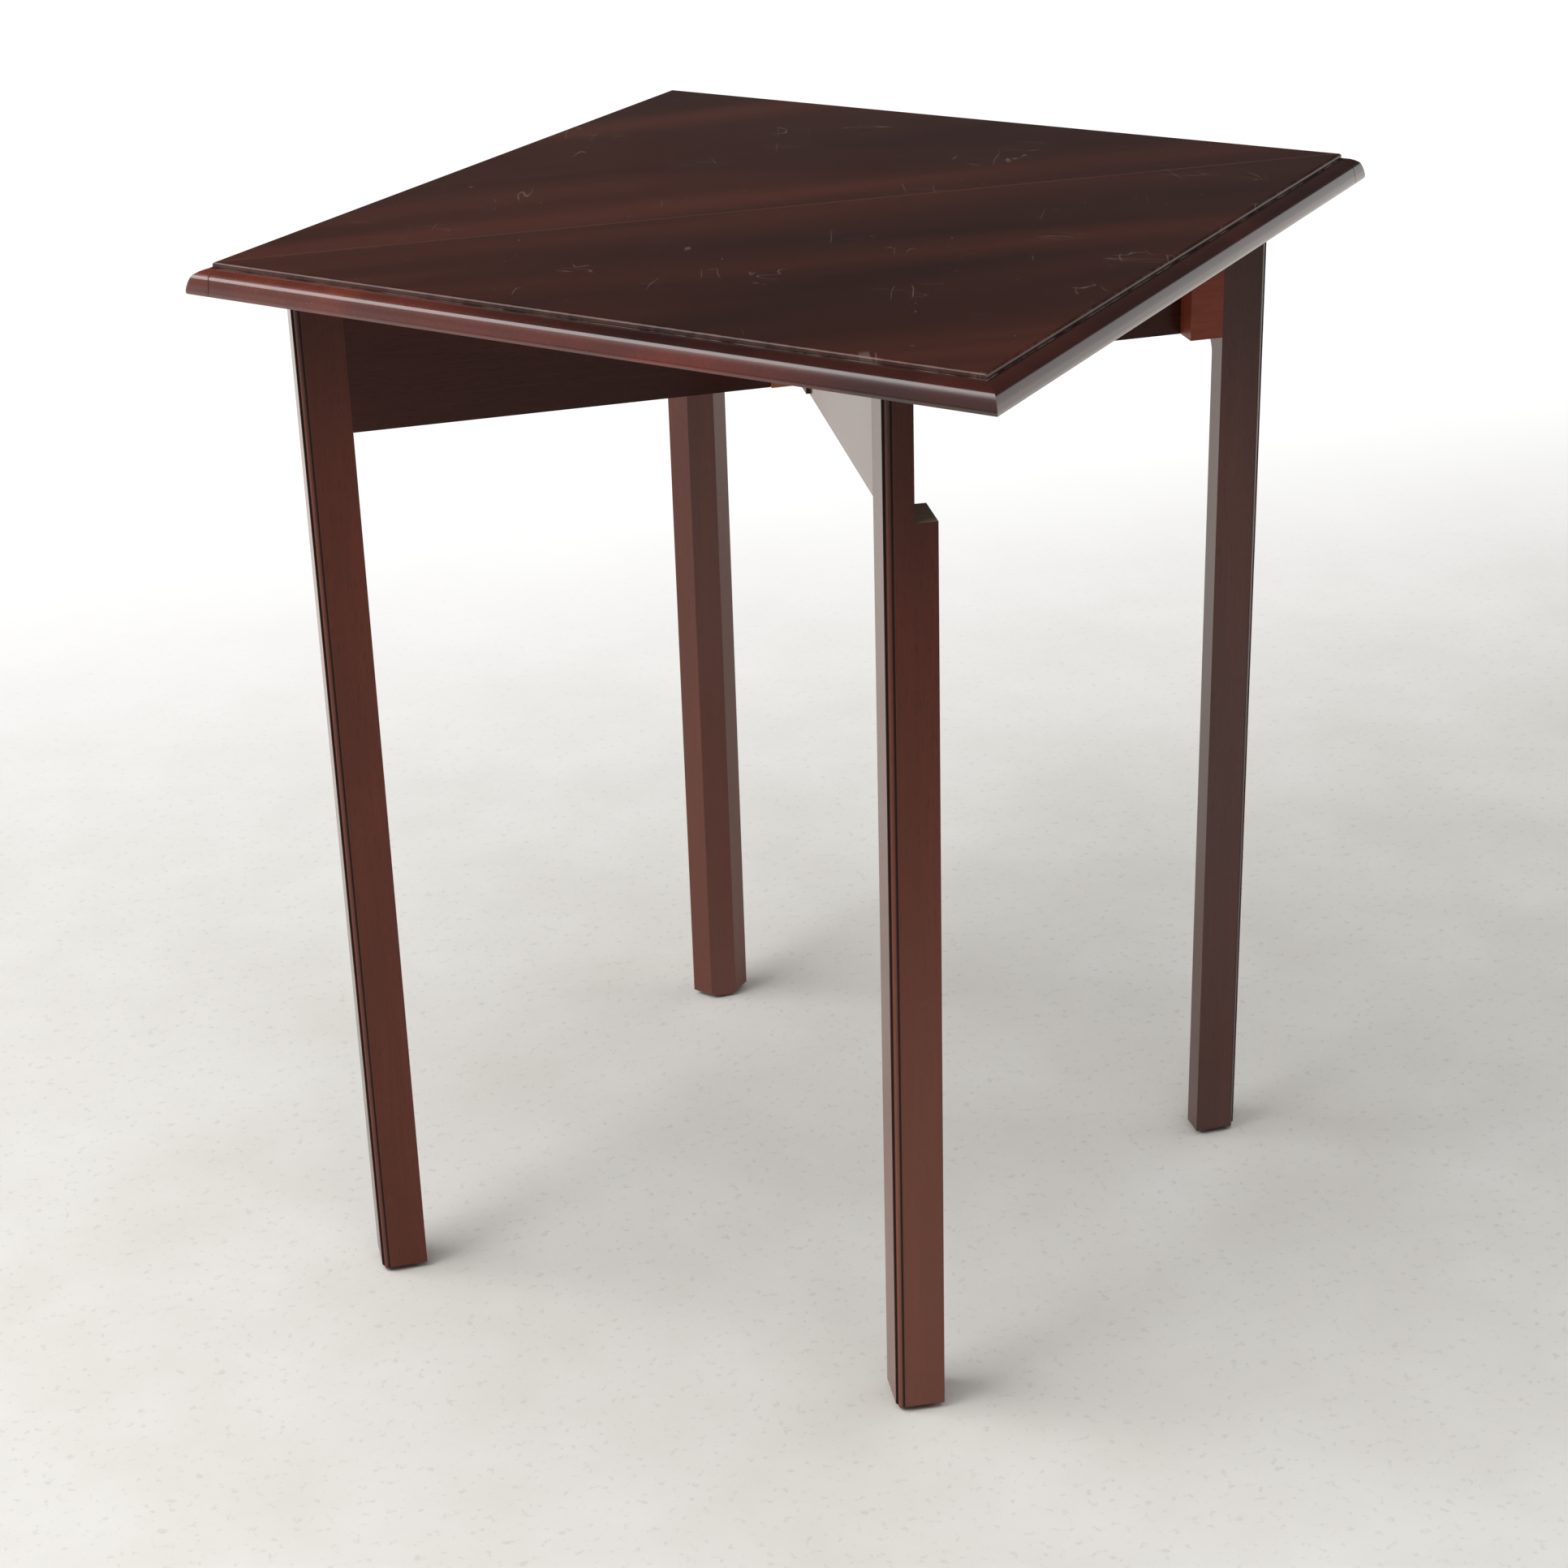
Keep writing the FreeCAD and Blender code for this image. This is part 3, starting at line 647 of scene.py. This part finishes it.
def felt_pad(name):
    material, tree, shader = new_material(name)
    fuzz = even_noise(tree, object_place(tree), scale=900.0, detail=3.0, roughness=0.7)
    tree.links.new(ramp(tree, fuzz, PAD_STOPS), shader.inputs["Base Color"])
    rough = math_node(tree, "ADD", times(tree, fuzz, PAD_UNEVENNESS), PAD_ROUGHNESS)
    tree.links.new(rough, shader.inputs["Roughness"])
    raise_bump(tree, shader, fuzz, PAD_BUMP, PAD_DEPTH)
    return material


# Pieces of the table
def dress(material, *names):
    for name in names:
        mesh = nodes[name].data
        mesh.materials.clear()
        mesh.materials.append(material)


def dress_top():
    dress(top_wood("top_field_mahogany", TOP_TURN, TOP_SHIFT), "fixed_top")
    dress(top_wood("leaf_field_mahogany", ALONG_X, LEAF_SHIFT), "leaf")


def dress_legs():
    left = leg_wood("left_leg_mahogany", LEG_PALETTE, LEG_FINISH, foot_share=0.1)
    gate = leg_wood("gate_leg_mahogany", LEG_PALETTE, LEG_FINISH, foot_share=0.6)
    # The right leg takes the darker palette as painted shade
    right = leg_wood("right_leg_mahogany", SHADED_LEG_PALETTE, SHADED_LEG_FINISH, foot_share=0.1)
    back = leg_wood("back_leg_mahogany", LEG_PALETTE, BACK_LEG_FINISH, foot_share=0.3)
    dress(left, "left_leg")
    dress(gate, "gate_leg")
    dress(right, "right_leg")
    dress(back, "back_leg")


def dress_notch_ledge():
    # The notch's flat bottom is bare end grain under dust, its colour painted lighter as painted light
    # where little light reaches under the leaf.
    mesh = nodes["gate_leg"].data
    mesh.materials.append(finished_wood("dusty_end_grain", ALONG_X, LEDGE_PALETTE, LEDGE_FINISH))
    for face in mesh.polygons:
        if face.normal.z > FACING_UP and abs(face.center.z - NOTCH_LEDGE_HEIGHT) < EDGE_EASE:
            face.material_index = NOTCH_LEDGE_SLOT


def dress_rails():
    rails = finished_wood("rail_mahogany", ALONG_X, RAIL_PALETTE, RAIL_FINISH)
    left = finished_wood("left_side_mahogany", ALONG_LEFT_SIDE, RAIL_PALETTE, RAIL_FINISH)
    right = finished_wood("right_side_mahogany", ALONG_RIGHT_SIDE, RAIL_PALETTE, RAIL_FINISH)
    # The gate rail takes the lighter palette as painted light
    gate = finished_wood("gate_mahogany", ALONG_GATE, GATE_PALETTE, GATE_FINISH)
    dress(rails, "inner_rail", "fly_rail")
    dress(left, "left_side_rail")
    dress(right, "right_side_rail")
    dress(gate, "gate_rail")


def dress_blocks():
    stop = finished_wood("stop_block_redwood", ALONG_X, BLOCK_PALETTE, BLOCK_FINISH)
    fixed = finished_wood("fixed_knuckle_hardwood", ALONG_X, KNUCKLE_PALETTE, FIXED_KNUCKLE_FINISH)
    swung = finished_wood("gate_knuckle_hardwood", ALONG_GATE, RAIL_PALETTE, GATE_KNUCKLE_FINISH)
    raw = finished_wood("raw_block_wood", ALONG_X, RAW_PALETTE, RAW_FINISH)
    dress(stop, "stop_block")
    dress(fixed, "fixed_knuckle")
    dress(swung, "gate_knuckle")
    for side in ("left", "right"):
        dress(raw, f"glue_block_{side}_front", f"glue_block_{side}_back")


def dress_hardware():
    brass = metal("aged_brass", BRASS, BRASS_TARNISH, BRASS_ROUGHNESS)
    steel = metal("dull_steel", STEEL, STEEL_TARNISH, STEEL_ROUGHNESS)
    for side in ("left", "right"):
        dress(brass, f"{side}_hinge_top_plate", f"{side}_hinge_leaf_plate", f"{side}_hinge_pin")
    dress(steel, "knuckle_pin")
    dress(felt_pad("dark_glide_pad"), "frame_glides", "gate_glide")


def ease_edges(*names):
    # Soft arrises, as planed and sanded edges have.
    for name in names:
        piece = nodes[name]
        weld = piece.modifiers.new("joined faces", "WELD")
        weld.merge_threshold = WELD_DISTANCE
        bevel = piece.modifiers.new("eased arris", "BEVEL")
        bevel.width = EDGE_EASE
        bevel.segments = BEVEL_SEGMENTS
        bevel.limit_method = "ANGLE"
        bevel.angle_limit = math.radians(SHARP_ANGLE)
        bevel.harden_normals = True


# Slotted screws in the hinge plates' countersunk holes
def cut_slot(head):
    slot_size = (SCREW_SLOT_LENGTH, SCREW_SLOT_WIDTH, 2 * SCREW_SLOT_DEPTH)
    bpy.ops.mesh.primitive_cube_add(size=1.0, scale=slot_size)
    cutter = bpy.context.object
    bpy.context.view_layer.objects.active = head
    slot = head.modifiers.new("slot", "BOOLEAN")
    slot.object = cutter
    slot.operation = "DIFFERENCE"
    slot.solver = "EXACT"
    bpy.ops.object.modifier_apply(modifier=slot.name)
    bpy.data.objects.remove(cutter)


def make_screw_head():
    # One head at the origin, its slotted face down.
    bpy.ops.object.select_all(action="DESELECT")
    middle = (0.0, 0.0, SCREW_HEAD_DEPTH / 2)
    bpy.ops.mesh.primitive_cone_add(vertices=SCREW_SIDES, depth=SCREW_HEAD_DEPTH, location=middle,
                                    radius1=SCREW_HEAD_RADIUS, radius2=SCREW_NECK_RADIUS)
    head = bpy.context.object
    bpy.ops.object.transform_apply(location=True, rotation=False, scale=False)
    cut_slot(head)
    rim = head.modifiers.new("soft rim", "BEVEL")
    rim.width = SCREW_RIM
    rim.segments = BEVEL_SEGMENTS
    bpy.ops.object.modifier_apply(modifier=rim.name)
    return head


def copy_screw(model, place, turn):
    bpy.ops.object.select_all(action="DESELECT")
    model.select_set(True)
    bpy.context.view_layer.objects.active = model
    bpy.ops.object.duplicate()
    screw = bpy.context.object
    screw.location = place
    screw.rotation_euler.z = turn
    return screw


def set_screws(model, name, rows, body):
    # Three screws in each hinge's flap, every slot left at its own angle.
    near, far = rows
    copies = []
    for centre in HINGE_CENTRES:
        for x, y in ((-HINGE_SCREW_SPREAD, far), (0.0, near), (HINGE_SCREW_SPREAD, far)):
            turn = len(copies) * SLOT_TURN_BY_SCREW + abs(y) * SLOT_TURN_BY_ROW
            copies.append(copy_screw(model, (centre + x, y, UNDERSIDE_HEIGHT), turn))
    bpy.ops.object.select_all(action="DESELECT")
    for screw in copies:
        screw.select_set(True)
    bpy.context.view_layer.objects.active = copies[0]
    bpy.ops.object.join()
    bpy.ops.object.transform_apply(location=True, rotation=True, scale=True)
    bpy.ops.object.shade_smooth_by_angle(angle=math.radians(SHARP_ANGLE))
    screws = bpy.context.object
    screws.name = name
    screws.data.materials.append(bpy.data.materials["dull_steel"])
    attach(screws, body)


def make_hinge_screws():
    model = make_screw_head()
    set_screws(model, "hinge_top_screws", TOP_SCREW_ROWS, "frame")
    set_screws(model, "hinge_leaf_screws", LEAF_SCREW_ROWS, "leaf")
    bpy.data.objects.remove(model)


# Stage
def floor_colour(tree, place):
    mottle = even_noise(tree, place, scale=6.0, detail=5.0, roughness=0.6)
    grit = even_noise(tree, place, scale=150.0, detail=2.0, roughness=0.6)
    colour = ramp(tree, mottle, FLOOR_STOPS)
    return stain(tree, colour, smooth_step(tree, grit, GRIT_LIMITS), GRIT_SHARE, GRIT_COLOUR)


def floor_white(tree, place, rays):
    # Where the floor runs out to white: around and behind when seen, beside and behind when mirrored.
    side, depth, _ = axes(tree, place)
    reach = put(tree, "ShaderNodeVectorMath", operation="LENGTH")
    tree.links.new(place, reach.inputs[0])
    outer = smooth_step(tree, reach.outputs["Value"], SWEEP_REACH)
    around = math_node(tree, "MAXIMUM", smooth_step(tree, depth, SWEEP_DEPTH), outer)
    sideways = smooth_step(tree, math_node(tree, "ABSOLUTE", side), BESIDE_REACH)
    beside = times(tree, sideways, smooth_step(tree, depth, BESIDE_DEPTH))
    bounce = math_node(tree, "MAXIMUM", smooth_step(tree, depth, BOUNCE_DEPTH), beside)
    glossy = rays.outputs["Is Glossy Ray"]
    mirrored = math_node(tree, "ADD", glossy, rays.outputs["Is Transmission Ray"], clamp=True)
    seen = times(tree, around, rays.outputs["Is Camera Ray"])
    return math_node(tree, "MAXIMUM", seen, times(tree, bounce, mirrored))


def floor_material():
    material, tree, shader = new_material("pale_concrete")
    place = object_place(tree)
    tree.links.new(floor_colour(tree, place), shader.inputs["Base Color"])
    shader.inputs["Roughness"].default_value = FLOOR_ROUGHNESS
    rays = put(tree, "ShaderNodeLightPath")
    glow = put(tree, "ShaderNodeEmission", Strength=GLOW_STRENGTH)
    tone = mix_colour(tree, rays.outputs["Is Camera Ray"], WARM_BOUNCE, WHITE)
    tree.links.new(tone, glow.inputs["Color"])
    blend = put(tree, "ShaderNodeMixShader")
    tree.links.new(floor_white(tree, place, rays), blend.inputs["Fac"])
    join(tree, shader, "BSDF", blend, FIRST_SHADER)
    join(tree, glow, "Emission", blend, SECOND_SHADER)
    output = next(node for node in tree.nodes if node.bl_idname == "ShaderNodeOutputMaterial")
    join(tree, blend, "Shader", output, "Surface")
    return material


def make_floor():
    bpy.ops.object.select_all(action="DESELECT")
    bpy.ops.mesh.primitive_plane_add(size=FLOOR_SIZE, location=(0.0, 0.0, 0.0))
    floor = bpy.context.object
    floor.name = "studio_floor"
    floor.data.materials.append(floor_material())


def room_colour(tree):
    # A dim room with a pale backdrop low behind and a pale wall at the left; the camera sees white.
    place = put(tree, "ShaderNodeTexCoord")
    side, depth, height = axes(tree, place.outputs["Generated"])
    sideways = smooth_step(tree, math_node(tree, "ABSOLUTE", side), SIDE_WALLS)
    walls = times(tree, sideways, smooth_step(tree, height, SIDE_WALL_HEIGHT))
    low = math_node(tree, "MAXIMUM", smooth_step(tree, height, BACKDROP_HEIGHT), walls)
    backdrop = times(tree, low, smooth_step(tree, depth, BACKDROP_DEPTH))
    leftward = smooth_step(tree, side, LEFT_WALL)
    left_wall = times(tree, leftward, smooth_step(tree, height, LEFT_WALL_HEIGHT))
    left_wall = times(tree, left_wall, smooth_step(tree, depth, LEFT_WALL_DEPTH))
    colour = mix_colour(tree, smooth_step(tree, depth, FRONT_DEPTH), ROOM_COLOUR, FRONT_COLOUR)
    colour = mix_colour(tree, left_wall, colour, LEFT_WALL_COLOUR)
    colour = mix_colour(tree, backdrop, colour, BACKDROP_COLOUR)
    rays = put(tree, "ShaderNodeLightPath")
    return mix_colour(tree, rays.outputs["Is Camera Ray"], colour, WHITE)


def make_world():
    world = bpy.data.worlds.new("studio")
    bpy.context.scene.world = world
    world.use_nodes = True
    tree = world.node_tree
    tree.nodes.clear()
    output = put(tree, "ShaderNodeOutputWorld")
    background = put(tree, "ShaderNodeBackground", Strength=1.0)
    tree.links.new(room_colour(tree), background.inputs["Color"])
    join(tree, background, "Background", output, "Surface")


def add_softbox(softbox):
    bpy.ops.object.select_all(action="DESELECT")
    direction = Vector(softbox.aim) - Vector(softbox.place)
    turn = direction.to_track_quat("-Z", "Y").to_euler()
    bpy.ops.object.light_add(type="AREA", location=softbox.place, rotation=turn)
    lamp = bpy.context.object
    lamp.name = softbox.name
    lamp.data.shape = "RECTANGLE"
    lamp.data.size, lamp.data.size_y = softbox.size
    lamp.data.energy = softbox.power
    lamp.visible_glossy = softbox.mirrored


def make_camera():
    azimuth = math.radians(CAMERA_AZIMUTH)
    elevation = math.radians(CAMERA_ELEVATION)
    roll = math.radians(CAMERA_ROLL)
    level = math.cos(elevation)
    back = Vector((math.sin(azimuth) * level, -math.cos(azimuth) * level, math.sin(elevation)))
    right = Vector((0.0, 0.0, 1.0)).cross(back).normalized()
    upward = back.cross(right)
    rolled_right = right * math.cos(roll) + upward * math.sin(roll)
    rolled_up = upward * math.cos(roll) - right * math.sin(roll)
    aim = Vector((0.0, 0.0, TABLE_HEIGHT))
    spot = aim + back * CAMERA_DISTANCE + rolled_right * CAMERA_SIDE + rolled_up * CAMERA_LIFT
    bpy.ops.object.select_all(action="DESELECT")
    bpy.ops.object.camera_add()
    camera = bpy.context.object
    camera.name = "photo_camera"
    turn = Matrix((rolled_right, rolled_up, back)).transposed().to_4x4()
    camera.matrix_world = Matrix.Translation(spot) @ turn
    camera.data.sensor_fit = "HORIZONTAL"
    camera.data.sensor_width = SENSOR_WIDTH
    camera.data.lens = FOCAL_PIXELS / PHOTO_SIZE * SENSOR_WIDTH
    across, down = CENTRE_PIXEL
    camera.data.shift_x = HALF_FRAME - across / PHOTO_SIZE
    camera.data.shift_y = down / PHOTO_SIZE - HALF_FRAME
    bpy.context.scene.camera = camera


bpy.context.scene.view_settings.view_transform = "Standard"
make_camera()
dress_top()
dress_legs()
dress_notch_ledge()
dress_rails()
dress_blocks()
dress_hardware()
ease_edges(*EASED_PIECES)
make_hinge_screws()
make_floor()
make_world()
for softbox in SOFTBOXES:
    add_softbox(softbox)
